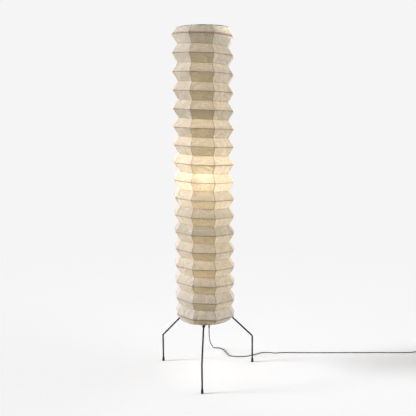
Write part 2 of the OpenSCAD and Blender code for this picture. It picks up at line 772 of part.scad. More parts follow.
module switch_cover() {
    color([0.09, 0.09, 0.09]) translate([switch_mid, switch_y, 0]) difference() {
        translate([0, 0, split_z]) linear_extrude(switch_h - split_z) switch_outline(0);
        translate([0, 0, split_z - 1]) linear_extrude(switch_h - split_z - switch_wall + 1)
            switch_outline(switch_wall);
        translate([-rocker_len / 2 - 0.8, -rocker_w / 2 - 0.5, split_z])
            cube([rocker_len + 1.6, rocker_w + 1, switch_h]);
        for (s = [-1, 1]) translate([s * boss_x, s * 7, split_z - 1])
            cylinder(r = 1.6, h = switch_h);
    }
}

// The rocker turns about an axis across the switch and rests tipped to one side
module switch_rocker() {
    color([0.16, 0.16, 0.16]) translate([switch_mid, switch_y, rocker_z])
        rotate([0, rocker_tilt, 0]) rotate([90, 0, 0])
            translate([0, 0, -rocker_w / 2]) linear_extrude(rocker_w)
                polygon([[-rocker_len / 2 + 0.6, -1], [-3, -4.5], [3, -4.5],
                    [rocker_len / 2 - 0.6, -1], [rocker_len / 2 - 0.6, 2.6], [0, 1.6],
                    [-rocker_len / 2 + 0.6, 2.6]]);
}

module switch_screws() {
    color([0.6, 0.6, 0.6]) translate([switch_mid, switch_y, 0])
        for (s = [-1, 1]) translate([s * boss_x, s * 7, split_z - 5])
            cylinder(r = 1, h = switch_h - split_z + 4.5);
}

// ---- Tail and plug: the plug lies flat beside the coil, pins to the left
plug_z = plug_t / 2;
pin_socket = 12;
pin_chamfer = 0.5;
tail_len = 26;
plug_x = coil_last[0] - tail_len;
tail_points = [coil_last, coil_last - [cord_d, 0, 0], [plug_x + cord_d, coil_last[1], plug_z],
    [plug_x, coil_last[1], plug_z]];

module cord_tail() {
    path = concat([tail_points[0]], spline([tail_points[1], tail_points[2]], 3),
        [tail_points[3]]);
    cord_tube(path, [-1, 0, 0], [-1, 0, 0], [0, 1, 0]);
}

module plug_body() {
    color([0.08, 0.08, 0.08]) difference() {
        translate([plug_x, coil_last[1], plug_z]) mirror([1, 0, 0]) hull() {
            translate([0, -5, -4.5]) cube([1, 10, 9]);
            for (s = [-1, 1]) translate([12, s * (plug_w / 2 - 6), -plug_t / 2])
                cylinder(r = 4, h = plug_t, $fn = 32);
            for (s = [-1, 1]) translate([plug_len - 4, s * (plug_w / 2 - 4), -plug_t / 2])
                cylinder(r = 4, h = plug_t, $fn = 32);
        }
        // Sockets that the pins are moulded into
        for (s = [-1, 1]) translate([plug_x - plug_len - 1, coil_last[1]
            + s * plug_pin_gap / 2, plug_z]) rotate([0, 90, 0])
                cylinder(r = pin_root_d / 2 + fit_gap, h = pin_socket + 1);
    }
}

// A pin has a chamfered tip of full diameter and a thinner root that the body grips
module plug_pins() {
    tip_r = plug_pin_d / 2;
    root_r = pin_root_d / 2;
    len = plug_pin_len + pin_socket - seat;
    color([0.75, 0.75, 0.76]) for (s = [-1, 1])
        translate([plug_x - plug_len - plug_pin_len, coil_last[1] + s * plug_pin_gap / 2,
            plug_z]) rotate([0, 90, 0]) rotate_extrude() polygon([
                [0, 0], [tip_r - pin_chamfer, 0], [tip_r, pin_chamfer], [tip_r, pin_tip_len],
                [root_r, pin_tip_len], [root_r, len], [0, len]]);
}

// ---- The origin is the middle of the box round the three feet
foot_at = [for (i = [0:2]) polar(foot_circle_r, tripod_turn + i * third, 0)];
footprint_x = (max([for (f = foot_at) f[0]]) + min([for (f = foot_at) f[0]])) / 2;
footprint_y = (max([for (f = foot_at) f[1]]) + min([for (f = foot_at) f[1]])) / 2;
echo(axis_at = [-footprint_x, -footprint_y]);

module placed() {
    translate([-footprint_x, -footprint_y, 0]) children();
}

placed() leg(0);  // leg_front
placed() leg(2);  // leg_left
placed() leg(1);  // leg_right
placed() foot(0);  // foot_front
placed() foot(2);  // foot_left
placed() foot(1);  // foot_right
placed() hub();
placed() hub_set_screws();
placed() post();
placed() post_locknut();
placed() arm_locknut();
placed() bottom_arm();
placed() stretcher(-1);  // stretcher_left
placed() stretcher(1);  // stretcher_right
placed() stretcher_nuts();
placed() top_bridge();
placed() ring_clip(0);  // ring_clip_front
placed() ring_clip(2);  // ring_clip_left
placed() ring_clip(1);  // ring_clip_right
placed() wire_ring(ring_bottom_z);  // bottom_ring
placed() wire_ring(ring_top_z);  // top_ring
placed() shade_paper();
placed() shade_rib();
placed() holder_cap();
placed() holder_skirt();
placed() holder_insert();
placed() holder_shell();
placed() holder_contact();
placed() bulb_cap();
placed() bulb_globe();
placed() cord_gland();
placed() inner_lead();
placed() lead_clips();
placed() cord_run();
placed() switch_base();
placed() switch_cover();
placed() switch_rocker();
placed() switch_screws();
placed() cord_link();
placed() cord_coil();
placed() cord_tie();
placed() cord_tail();
placed() plug_body();
placed() plug_pins();
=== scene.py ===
import json
import math

import bpy
from mathutils import Matrix, Vector, noise


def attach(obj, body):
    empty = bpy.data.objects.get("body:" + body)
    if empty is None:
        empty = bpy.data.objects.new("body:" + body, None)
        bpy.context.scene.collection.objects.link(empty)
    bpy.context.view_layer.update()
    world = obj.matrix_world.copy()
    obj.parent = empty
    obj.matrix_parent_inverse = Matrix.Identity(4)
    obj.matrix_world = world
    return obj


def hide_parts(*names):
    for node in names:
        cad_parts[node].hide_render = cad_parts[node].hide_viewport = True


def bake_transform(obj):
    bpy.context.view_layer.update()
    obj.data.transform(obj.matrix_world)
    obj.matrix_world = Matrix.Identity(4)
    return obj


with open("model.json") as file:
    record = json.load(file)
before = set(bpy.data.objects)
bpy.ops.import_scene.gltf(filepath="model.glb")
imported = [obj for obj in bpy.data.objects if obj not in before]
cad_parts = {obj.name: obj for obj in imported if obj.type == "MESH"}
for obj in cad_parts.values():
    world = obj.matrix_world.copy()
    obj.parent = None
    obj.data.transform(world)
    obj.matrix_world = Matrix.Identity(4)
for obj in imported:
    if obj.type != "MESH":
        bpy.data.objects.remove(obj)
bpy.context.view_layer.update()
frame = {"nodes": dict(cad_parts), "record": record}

# Paper lantern floor lamp. Metres, +Z up, front of the lamp at -Y. Pieces are drawn about
# the lamp's own axis, which stands at AXIS: the origin is the middle of the feet.
FOOT_R = 0.307
# Directions of the legs, in degrees from the front round by the right
LEG_DEGREES = {"front": -4, "right": 116, "left": -124}
FEET = [math.radians(a) for a in LEG_DEGREES.values()]
FEET_X = [FOOT_R * math.sin(a) for a in FEET]
FEET_Y = [-FOOT_R * math.cos(a) for a in FEET]
AXIS = Vector((-(max(FEET_X) + min(FEET_X)) / 2, -(max(FEET_Y) + min(FEET_Y)) / 2, 0))


def add_object(name, data):
    obj = bpy.data.objects.new(name, data)
    bpy.context.collection.objects.link(obj)
    return obj


# ---------------------------------------------------------------- camera
# Lens, place and turn come from a fit to the feet, rims and ridge tips in the photograph
LENS, SENSOR = 56.6, 36.0
CAMERA_AT = AXIS + Vector((0.0, -3.593, 1.459))
YAW, PITCH, ROLL = math.radians(-0.33), math.radians(81.9), math.radians(-0.58)

cam = add_object("camera", bpy.data.cameras.new("camera"))
cam.data.lens = LENS
cam.data.sensor_width = SENSOR
cam.matrix_world = (Matrix.Translation(CAMERA_AT) @ Matrix.Rotation(YAW, 4, "Z")
                    @ Matrix.Rotation(PITCH, 4, "X") @ Matrix.Rotation(ROLL, 4, "Z"))
bpy.context.scene.camera = cam


# ---------------------------------------------------------------- meshes
def add_mesh(name, verts, faces, smooth=True):
    mesh = bpy.data.meshes.new(name)
    mesh.from_pydata([tuple(Vector(v) + AXIS) for v in verts], [], faces)
    mesh.validate()
    mesh.update()
    if smooth:
        mesh.shade_smooth()
    return add_object(name, mesh)


def tube(name, path, radius, sides):
    """A round tube along path, closed at both ends."""
    dirs = []
    for i in range(len(path)):
        a, b = path[max(i - 1, 0)], path[min(i + 1, len(path) - 1)]
        dirs.append((b - a).normalized())
    side = dirs[0].orthogonal().normalized()
    verts, faces = [], []
    for p, d in zip(path, dirs):
        side = (side - side.dot(d) * d).normalized()
        up = d.cross(side)
        for s in range(sides):
            t = 2 * math.pi * (s + 0.5) / sides
            verts.append(p + radius * math.cos(t) * side + radius * math.sin(t) * up)
    for i in range(len(path) - 1):
        for s in range(sides):
            t = (s + 1) % sides
            faces.append((i * sides + s, i * sides + t, (i + 1) * sides + t,
                          (i + 1) * sides + s))
    faces.append(tuple(range(sides - 1, -1, -1)))
    faces.append(tuple((len(path) - 1) * sides + s for s in range(sides)))
    return add_mesh(name, verts, faces)


def spline(points, steps):
    """A smooth curve through all points, with steps pieces between each two."""
    out = []
    for i in range(len(points) - 1):
        a, b, c = points[max(i - 1, 0)], points[i], points[i + 1]
        d = points[min(i + 2, len(points) - 1)]
        for k in range(steps):
            t = k / steps
            out.append((2 * b + t * (c - a) + t * t * (2 * a - 5 * b + 4 * c - d)
                        + t ** 3 * (3 * b - a - 3 * c + d)) / 2)
    return out + [points[-1]]


# ---------------------------------------------------------------- node trees
class Nodes:
    """A short way to write the node tree of a material or of the world."""

    def __init__(self, owner, output="ShaderNodeOutputMaterial"):
        owner.use_nodes = True
        self.owner = owner
        self.tree = owner.node_tree
        self.tree.nodes.clear()
        self.output = self.tree.nodes.new(output)

    def add(self, kind, props=None, **inputs):
        """A node. Its inputs go by name, with _ for a space, or by number as i0, i1."""
        node = self.tree.nodes.new(kind)
        for key, value in (props or {}).items():
            setattr(node, key, value)
        for key, value in inputs.items():
            numbered = key[0] == "i" and key[1:].isdigit()
            self.put(node.inputs[int(key[1:]) if numbered else key.replace("_", " ")], value)
        return node

    def put(self, socket, value):
        if isinstance(value, bpy.types.NodeSocket):
            self.tree.links.new(value, socket)
        else:
            socket.default_value = value

    def show(self, shader):
        """Ends the tree with this shader, and gives back what the tree belongs to."""
        self.put(self.output.inputs["Surface"], shader)
        return self.owner

    def where(self):
        return self.add("ShaderNodeTexCoord").outputs["Object"]

    def noise(self, scale, detail=3.0, rough=0.5, vector=None):
        return self.add("ShaderNodeTexNoise", Scale=scale, Detail=detail, Roughness=rough,
                        Vector=vector or self.where()).outputs["Fac"]

    def ramp(self, value, low, high, a=0.0, b=1.0):
        """a where value is low or less, b where it is high or more."""
        return self.add("ShaderNodeMapRange", i0=value, i1=low, i2=high, i3=a, i4=b).outputs[0]

    def math(self, op, a, b):
        return self.add("ShaderNodeMath", {"operation": op}, i0=a, i1=b).outputs[0]

    def mix(self, fac, a, b):
        # Sockets 0, 6 and 7 are the factor and the two colours of this node's RGBA form
        return self.add("ShaderNodeMix", {"data_type": "RGBA"}, i0=fac, i6=a, i7=b).outputs[2]

    def mix_shader(self, fac, a, b):
        return self.add("ShaderNodeMixShader", i0=fac, i1=a, i2=b).outputs[0]

    def add_shader(self, a, b):
        return self.add("ShaderNodeAddShader", i0=a, i1=b).outputs[0]

    def bump(self, height, strength, distance):
        return self.add("ShaderNodeBump", Height=height, Strength=strength,
                        Distance=distance).outputs["Normal"]

    def attribute(self, name):
        return self.add("ShaderNodeAttribute", {"attribute_name": name}).outputs["Fac"]


def rgb(r, g, b):
    return (r, g, b, 1.0)


def grey(tone):
    return (tone, tone, tone)


# ---------------------------------------------------------------- hard materials
def solid(name, dark, light, rough, rough_spread=0.1, metal=0.0, grain=900.0,
          grain_depth=0.00004, patch=40.0, coat=0.0, gloss=0.5):
    """A moulded, painted or plated surface: mottled colour, uneven polish, fine grain."""
    n = Nodes(bpy.data.materials.new(name))
    colour = n.mix(n.ramp(n.noise(patch, 4.0), 0.35, 0.65), rgb(*dark), rgb(*light))
    polish = n.ramp(n.noise(patch * 3, 3.0), 0.3, 0.7, rough, rough + rough_spread)
    fine = n.bump(n.noise(grain, 2.0), 0.5, grain_depth)
    bsdf = n.add("ShaderNodeBsdfPrincipled", Base_Color=colour, Metallic=metal, Roughness=polish,
                 Coat_Weight=coat, Specular_IOR_Level=gloss, Normal=fine)
    return n.show(bsdf.outputs[0])


FINISHES = {
    "leg_paint": dict(dark=(0.004, 0.004, 0.0045), light=(0.009, 0.009, 0.010), rough=0.5,
                      gloss=0.2),
    "hub_paint": dict(dark=(0.012, 0.012, 0.013), light=(0.02, 0.02, 0.022), rough=0.38),
    "frame_steel": dict(dark=(0.06, 0.06, 0.062), light=(0.09, 0.09, 0.094), rough=0.4),
    "ring_steel": dict(dark=(0.03, 0.03, 0.032), light=(0.05, 0.05, 0.052), rough=0.4),
    "zinc": dict(dark=(0.42, 0.42, 0.44), light=(0.58, 0.58, 0.6), rough=0.3, metal=1.0),
    "clip_steel": dict(dark=(0.07, 0.08, 0.12), light=(0.12, 0.13, 0.18), rough=0.35, metal=1.0),
    "foot_rubber": dict(dark=grey(0.008), light=grey(0.016), rough=0.6),
    "holder_black": dict(dark=grey(0.01), light=grey(0.02), rough=0.22, coat=0.4),
    "porcelain": dict(dark=(0.74, 0.73, 0.69), light=(0.85, 0.84, 0.8), rough=0.45),
    "holder_brass": dict(dark=(0.6, 0.43, 0.2), light=(0.74, 0.56, 0.28), rough=0.28,
                         metal=1.0),
    "bulb_metal": dict(dark=(0.6, 0.6, 0.61), light=(0.72, 0.72, 0.73), rough=0.3, metal=1.0),
    "switch_plastic": dict(dark=grey(0.018), light=grey(0.03), rough=0.45),
    "rocker_plastic": dict(dark=grey(0.03), light=grey(0.045), rough=0.25),
    "screw_steel": dict(dark=grey(0.5), light=grey(0.68), rough=0.25, metal=1.0),
    "plug_plastic": dict(dark=grey(0.018), light=grey(0.03), rough=0.42),
    "pin_metal": dict(dark=grey(0.6), light=grey(0.75), rough=0.2, metal=1.0),
    "cord_sheath": dict(dark=grey(0.018), light=(0.032, 0.031, 0.03), rough=0.5),
    "bamboo": dict(dark=(0.32, 0.21, 0.11), light=(0.46, 0.32, 0.18), rough=0.6, grain=300.0),
}

# ---------------------------------------------------------------- paper
# Shares of the light that pass through the paper: spread by it, and nearly straight on
SHARE_SPREAD, SHARE_AHEAD = 0.46, 0.042
# Lines over seams and folds, over the folds partly a painted shadow of the rib: full strength to
# LINE_FULL of them, and gone at the second value
LINE_FULL = 0.0008
SEAM_STRENGTH, SEAM_GONE = 0.64, 0.0028
FOLD_STRENGTH, FOLD_GONE = 0.60, 0.0030
CREASE_SLANT = math.radians(32)


def crease_distance(n, where):
    """How far a point is from the sharp creases, which run aslant across each facet."""
    drift = n.add("ShaderNodeTexNoise", Scale=18.0, Detail=2.0, Vector=where)
    bent = n.add("ShaderNodeVectorMath", {"operation": "MULTIPLY_ADD"},
                 i0=drift.outputs["Color"], i1=(0.05, 0.05, 0.05), i2=where)
    slant = n.add("ShaderNodeMapping", Vector=bent.outputs[0],
                  Rotation=(0.0, CREASE_SLANT, 0.0), Scale=(0.62, 1.0, 1.5))
    cells = n.add("ShaderNodeTexVoronoi", {"feature": "DISTANCE_TO_EDGE"}, Scale=24.0,
                  Vector=slant.outputs[0])
    return cells.outputs["Distance"]


def fibres(n, where):
    """Short fibres, longer up and down than across."""
    stretch = n.add("ShaderNodeMapping", Vector=where, Scale=(1.0, 1.0, 0.25))
    return n.noise(380.0, 4.0, 0.7, stretch.outputs[0])


def paper_material(name, thin, warm=1.0):
    """Handmade paper. thin is the part of the light inside that comes through it, and
    warm under 1 takes blue out of its outer face."""
    n = Nodes(bpy.data.materials.new(name))
    where = n.where()
    # Uneven sheet: clouds of thicker and thinner pulp, grit, fibres and dark specks
    pulp = n.ramp(n.noise(26.0, 5.0, 0.65), 0.3, 0.7)
    grit = n.ramp(n.noise(150.0, 3.0, 0.6), 0.34, 0.66)
    fibre = fibres(n, where)
    speck = n.ramp(n.noise(300.0, 1.0, 0.4), 0.72, 0.77, 0.0, 0.6)
    # Sharp creases where the sheet was crumpled, in patches
    edge = crease_distance(n, where)
    patches = n.ramp(n.noise(20.0, 1.0), 0.50, 0.56)
    crease = n.math("MULTIPLY", n.ramp(edge, 0.0, 0.07, 1.0, 0.0), patches)
    # Brown lines over the strips' overlaps at the corners and over the rib in the folds. In the
    # light that comes through, the line over the rib is also a painted shadow of the rib.
    seam = n.ramp(n.attribute("seam"), LINE_FULL, SEAM_GONE, SEAM_STRENGTH, 0.0)
    fold = n.ramp(n.attribute("fold"), LINE_FULL, FOLD_GONE, FOLD_STRENGTH, 0.0)
    seam_fold_and_rib_shadow = n.math("MAXIMUM", seam, fold)

    # The outer face
    colour = n.mix(pulp, rgb(0.82, 0.80, 0.765 * warm), rgb(0.91, 0.90, 0.875 * warm))
    colour = n.mix(n.math("MULTIPLY", grit, 0.28), colour, rgb(0.62, 0.57, 0.49))
    colour = n.mix(n.math("MULTIPLY", crease, 0.85), colour, rgb(0.99, 0.98, 0.96))
    colour = n.mix(n.ramp(fibre, 0.64, 0.72, 0.0, 0.3), colour, rgb(0.5, 0.4, 0.28))
    colour = n.mix(speck, colour, rgb(0.24, 0.16, 0.09))
    colour = n.mix(seam_fold_and_rib_shadow, colour, rgb(0.40, 0.28, 0.16))
    # What comes through it
    through = n.mix(pulp, rgb(0.86 * thin, 0.71 * thin, 0.44 * thin),
                    rgb(0.98 * thin, 0.85 * thin, 0.58 * thin))
    through = n.mix(n.math("MULTIPLY", grit, 0.24), through,
                    rgb(0.62 * thin, 0.46 * thin, 0.26 * thin))
    through = n.mix(n.math("MULTIPLY", crease, 0.6), through, rgb(1.0, 0.93, 0.76))
    # Painted shadow: over the folds the lines darken the light that comes through, as the rib's
    # shadow would
    through = n.mix(seam_fold_and_rib_shadow, through, rgb(0.34, 0.20, 0.09))
    # The relief, highest between creases
    height = n.math("ADD", n.ramp(edge, 0.0, 0.35), n.math("MULTIPLY", fibre, 0.12))
    normal = n.bump(height, 0.6, 0.006)

    front = n.add("ShaderNodeBsdfDiffuse", Color=colour, Normal=normal, Roughness=0.6)
    back = n.add("ShaderNodeBsdfTranslucent", Color=through, Normal=normal)
    spread = n.mix_shader(SHARE_SPREAD, front.outputs[0], back.outputs[0])
    # A small share of the light goes nearly straight on, so the bulb shows as a soft hot spot
    ahead = n.add("ShaderNodeBsdfRefraction", Color=n.mix(0.55, through, rgb(1.0, 0.97, 0.92)),
                  Roughness=1.0, IOR=1.4, Normal=normal)
    return n.show(n.mix_shader(SHARE_AHEAD, spread, ahead.outputs[0]))


# ---------------------------------------------------------------- bulb
BULB_GLOW = 21.0


def glow_material(name):
    """Opal glass that glows."""
    n = Nodes(bpy.data.materials.new(name))
    colour = n.mix(n.ramp(n.noise(60.0, 2.0), 0.3, 0.7), rgb(1.0, 0.91, 0.77),
                   rgb(1.0, 0.94, 0.83))
    glow = n.add("ShaderNodeEmission", Color=colour, Strength=BULB_GLOW)
    glass = n.add("ShaderNodeBsdfPrincipled", Base_Color=rgb(0.9, 0.88, 0.82), Roughness=0.5)
    return n.show(n.add_shader(glow.outputs[0], glass.outputs[0]))


# ---------------------------------------------------------------- looks of the CAD nodes
LOOK = {slot: solid(slot, **finish) for slot, finish in FINISHES.items()}
LOOK["washi"] = paper_material("washi", 1.0)
LOOK["washi_lapped"] = paper_material("washi_lapped", 0.84, 0.97)
LOOK["washi_double"] = paper_material("washi_double", 0.66, 0.92)
LOOK["bulb_glass"] = glow_material("bulb_glow")

REDRAWN = ("shade_paper", "shade_rib", "cord_run", "cord_link", "cord_coil", "cord_tail")
SLOT_OF = {s["node"]: s["material_slot"] for s in frame["record"]["subparts"]}
for node_name, obj in frame["nodes"].items():
    if node_name not in REDRAWN:
        obj.data.materials.clear()
        obj.data.materials.append(LOOK[SLOT_OF[node_name]])

# ---------------------------------------------------------------- shade
# The rib is one spiral. Its even turns are the ridges of the paper, its odd ones the valleys.
SIDES, TURNS = 9, 33
RIDGE_R, VALLEY_R = 0.1742, 0.1430
RIB_TOP, RIB_DROP = 1.8995, 1.5684
# Turns lie further apart than even by this share at the top, and closer by it at the bottom
RIB_GRADE = 0.033
# Degrees by which each corner stands off its even place, from the rear one round by the left.
# The seams in front show facets of uneven width.
CORNER_SHIFT = (0.0, -1.5, -5.0, -5.0, -3.2, 0.0, 5.0, 6.0, 2.5)
SHADE_TOP, HEM_BOTTOM = 1.920, 0.32025
HEM_R, HEM_H, SCALLOP = 0.1434, 0.0060, 0.0045

# Steps of the sheet across each facet, and from each fold down to the next
ACROSS, DOWN = 8, 6
COLS = SIDES * ACROSS
LAST = TURNS * COLS
# Facets bulge a little between folds, and by up to LOW_BULGE more toward the bottom. They
# sink by PLEAT at the seams and rise by it between them, and CRUMPLE makes them uneven.
BULGE, LOW_BULGE, PLEAT = 0.0005, 0.0040, 0.0007
CRUMPLE, CRUMPLE_SCALE = 0.0011, 55
# Turns of the fold where sheets of paper lie double or overlap, and less light comes through
DOUBLE_TURNS = (8, 21)
LAPPED_TURNS = (10, 19)
TOP_HEM_TURN = -1
# The width of a facet by which the distance to its seams is reckoned
FACET_W = 0.116
# The lines in the valleys are fainter, as if seen this much further from the fold
VALLEY_SHIFT = 0.0009
# The hems have no fold near them
NO_FOLD = 0.01


def polar(r, degrees, z):
    a = math.radians(degrees)
    return Vector((r * math.sin(a), -r * math.cos(a), z))


def rib_z(turn):
    u = turn / TURNS
    return RIB_TOP - RIB_DROP * u * (1 + RIB_GRADE * (1 - u))


def is_ridge(turn):
    return turn % 2 == 0


def corner_angle(j):
    return -180 + j * 360 / SIDES + CORNER_SHIFT[j % SIDES]


def column_angle(i):
    j, f = divmod(i % COLS, ACROSS)
    return corner_angle(j) + (corner_angle(j + 1) - corner_angle(j)) * f / ACROSS


def corner(j, inset=0.0):
    r = RIDGE_R if is_ridge(j // SIDES) else VALLEY_R
    return polar(r - inset, corner_angle(j), rib_z(j / SIDES))


def on_rib(i):
    j, f = divmod(i, ACROSS)
    return corner(j) if f == 0 else corner(j).lerp(corner(j + 1), f / ACROSS)


def outward(p):
    return Vector((p.x, p.y, 0)).normalized()


def share_down(k, column):
    """The share of its column at which vertex k lies, or infinity past the column's end."""
    return k / (len(column) - 1) if k < len(column) else math.inf


class Sheet:
    """The folded sheet. Each vertex keeps its distance to a corner seam and to a fold, and
    each face keeps the turn of the rib above it."""

    def __init__(self):
        self.verts, self.seam, self.fold, self.index = [], [], [], {}
        self.faces, self.turns = [], []

    def put(self, key, p, i, fold):
        """The number of the vertex with this key, which is made once."""
        if key not in self.index:
            f = (i % ACROSS) / ACROSS
            self.index[key] = len(self.verts)
            self.verts.append(p)
            self.seam.append(min(f, 1 - f) * FACET_W)
            self.fold.append(fold)
        return self.index[key]

    def spiral(self, i, m):
        """Step m of DOWN between the rib at i and the rib one turn below."""
        if m == DOWN:
            i, m = i + COLS, 0
        a = on_rib(i)
        ridge_above = is_ridge(i // COLS)
        if m == 0:
            return self.put((i, 0), a, i, 0.0 if ridge_above else VALLEY_SHIFT)
        b = on_rib(i + COLS)
        s = m / DOWN
        p = a.lerp(b, s)
        low = i / LAST
        f = (i % ACROSS) / ACROSS
        proud = (BULGE + LOW_BULGE * low * low + CRUMPLE * noise.noise(p * CRUMPLE_SCALE)
                 - PLEAT * math.cos(2 * math.pi * f))
        p = p + outward(p) * proud * math.sin(math.pi * s)
        half = (b - a).length / 2
        near_valley = ridge_above == (s > 0.5)
        return self.put((i, m), p, i, half * (1 - abs(2 * s - 1))
                        + (VALLEY_SHIFT if near_valley else 0.0))

    def rim(self, name, i, m, z):
        return self.put((name, i % COLS, m), polar(HEM_R, column_angle(i), z), i, NO_FOLD)

    def face(self, turn, *corners):
        self.faces.append(corners)
        self.turns.append(turn)

    def between(self, left, right, turn):
        """Faces between two columns of vertices that may differ in length."""
        a, b = 0, 0
        while a < len(left) - 1 or b < len(right) - 1:
            next_a, next_b = share_down(a + 1, left), share_down(b + 1, right)
            if math.isclose(next_a, next_b):
                self.face(turn, left[a], left[a + 1], right[b + 1], right[b])
                a, b = a + 1, b + 1
            elif next_a < next_b:
                self.face(turn, left[a], left[a + 1], right[b])
                a += 1
            else:
                self.face(turn, left[a], right[b + 1], right[b])
                b += 1

    def top_column(self, i, last):
        """From the scalloped top hem down to the rib. The last column follows the first
        turn's whole height, because the spiral begins there."""
        dip = SCALLOP * math.sin(math.pi * (i % ACROSS) / ACROSS) ** 2
        hem = [self.rim("t", i, 0, SHADE_TOP - dip), self.rim("t", i, 1, SHADE_TOP - HEM_H)]
        return hem + ([self.spiral(0, m) for m in range(DOWN + 1)] if last
                      else [self.spiral(i, 0)])

    def bottom_column(self, i, first):
        """From the rib down to the bottom hem. The first column follows the last turn's
        whole height, because the spiral ends there."""
        steps = DOWN + 1 if first else 1
        return [self.spiral(LAST - COLS + i, m) for m in range(steps)] + [
            self.rim("b", i, 0, HEM_BOTTOM + HEM_H), self.rim("b", i, 1, HEM_BOTTOM)]


def fold_sheet():
    sheet = Sheet()
    for i in range(COLS):
        sheet.between(sheet.top_column(i, False), sheet.top_column(i + 1, i + 1 == COLS),
                      TOP_HEM_TURN)
    for i in range(LAST - COLS):
        for m in range(DOWN):
            sheet.face(i // COLS, sheet.spiral(i, m), sheet.spiral(i, m + 1),
                       sheet.spiral(i + 1, m + 1), sheet.spiral(i + 1, m))
    for i in range(COLS):
        sheet.between(sheet.bottom_column(i, i == 0), sheet.bottom_column(i + 1, False), TURNS)
    return sheet


sheet = fold_sheet()
paper = add_mesh("paper_bellows", sheet.verts, sheet.faces, smooth=False)
for name, values in (("seam", sheet.seam), ("fold", sheet.fold)):
    layer = paper.data.attributes.new(name, "FLOAT", "POINT")
    layer.data.foreach_set("value", values)
for slot in ("washi", "washi_lapped", "washi_double"):
    paper.data.materials.append(LOOK[slot])
for face, turn in zip(paper.data.polygons, sheet.turns):
    face.material_index = 2 if turn in DOUBLE_TURNS else 1 if turn in LAPPED_TURNS else 0
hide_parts("shade_paper")
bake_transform(paper)

# The rib, inside the paper by these amounts
IN_RIDGE, IN_VALLEY = 0.0026, 0.0024
RIB_R, RIB_SIDES = 0.0012, 8
rib_path = [corner(j, IN_RIDGE if is_ridge(j // SIDES) else IN_VALLEY)
            for j in range(TURNS * SIDES + 1)]
rib = tube("rib_strip", rib_path, RIB_R, RIB_SIDES)
rib.data.materials.append(LOOK["bamboo"])
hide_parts("shade_rib")
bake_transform(rib)

# ---------------------------------------------------------------- hooks on the ring clips
ARM_Z, CLIP_R, HOOK_FACE = 0.314, 0.0058, 0.1482
HOOK_WIRE, HOOK_GAP, HOOK_LIFT = 0.0015, 0.0003, 0.002
# A hook's flared end and the neck under it: to the side, up and outward
HOOK_END, HOOK_NECK = (0.0105, 0.0185, 0.0022), (0.0097, 0.0150, 0.0010)
HOOK_ARC, HOOK_STEPS, HOOK_SIDES = 15, 3, 8


def hook(name, direction):
    """A bent wire: round the leg's arm under the clip, its two ends flared over the hem."""
    out = polar(1.0, direction, 0.0)
    side = Vector((-out.y, out.x, 0.0))
    r = CLIP_R + HOOK_WIRE + HOOK_GAP
    path = [(-across, up, proud) for across, up, proud in (HOOK_END, HOOK_NECK)]
    for degrees in range(0, 181, HOOK_ARC):
        a = math.radians(degrees)
        path.append((-r * math.cos(a), HOOK_LIFT - r * math.sin(a), 0.0))
    path += [HOOK_NECK, HOOK_END]
    points = [side * across + Vector((0, 0, ARM_Z + up)) + out * (HOOK_FACE + proud)
              for across, up, proud in path]
    wire = tube(name, spline(points, HOOK_STEPS), HOOK_WIRE, HOOK_SIDES)
    wire.data.materials.append(LOOK["clip_steel"])
    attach(wire, "stand")


for place, direction in LEG_DEGREES.items():
    hook("hook_" + place, direction)

# ---------------------------------------------------------------- cord
CORD_D = 0.005
GLAND_MOUTH = Vector((0.020, -0.008, 0.259))
# The route from under the strain relief to the switch, in millimetres, as in the part's source
RUN = [(20, -8, 245), (20, -2, 230), (20, 14, 213), (21, 60, 184), (23, 120, 152),
       (25, 190, 117), (28, 260, 78), (38, 308, 44), (46, 346, 17), (60, 366, 5),
       (79, 371, 3), (97, 359, 3), (112, 330, 3), (125, 284, 3), (136, 250, 3), (152, 226, 3),
       (200, 216, 3), (248, 220, 3), (290, 241, 3), (346, 278, 3), (390, 277, 3),
       (425, 267, 3), (475, 273, 3), (600, 268, 3), (760, 262, 3), (920, 258, 3),
       (1080, 253, 3), (1200, 249, 3), (1260, 248, 4), (1290, 248, 8)]
SWITCH_X, SWITCH_LEN, SWITCH_Y, ENTRY_Z = 1.306, 0.064, 0.248, 0.009
# Past the switch the cord comes down to LOW_Z within LINK_DROP. From the coil's end it runs
# TAIL_LEN back to the left, into the plug.
LOW_Z, LINK_DROP, TAIL_LEN = 0.007, 0.014, 0.026
COIL_X, COIL_MID_R, COIL_PITCH, COIL_TURNS = 1.404, 0.0275, 0.0057, 5.5
HALF_TURNS = COIL_TURNS / 2
COIL_OUT_R = COIL_MID_R + COIL_PITCH * HALF_TURNS / 2
COIL_Y = SWITCH_Y - COIL_OUT_R
# The coil's lower layer lies SEAT above the lower side of its tie
TIE_T, SEAT = 0.0008, 0.0003
COIL_Z = TIE_T + SEAT + CORD_D / 2
# Part of a turn in which the coil climbs to its upper layer
CLIMB = 0.5
RUN_STEPS, LINK_STEPS, COIL_STEPS, CORD_SIDES = 6, 4, 32, 12


def coil_point(t):
    """The coil after t turns: inward on the floor, then outward on top of that."""
    r = COIL_OUT_R - COIL_PITCH * (HALF_TURNS - abs(t - HALF_TURNS))
    s = min(max((t - HALF_TURNS) / CLIMB + 0.5, 0), 1)
    return Vector((COIL_X + r * math.sin(2 * math.pi * t), COIL_Y + r * math.cos(2 * math.pi * t),
                   COIL_Z + COIL_PITCH * s * s * (3 - 2 * s)))


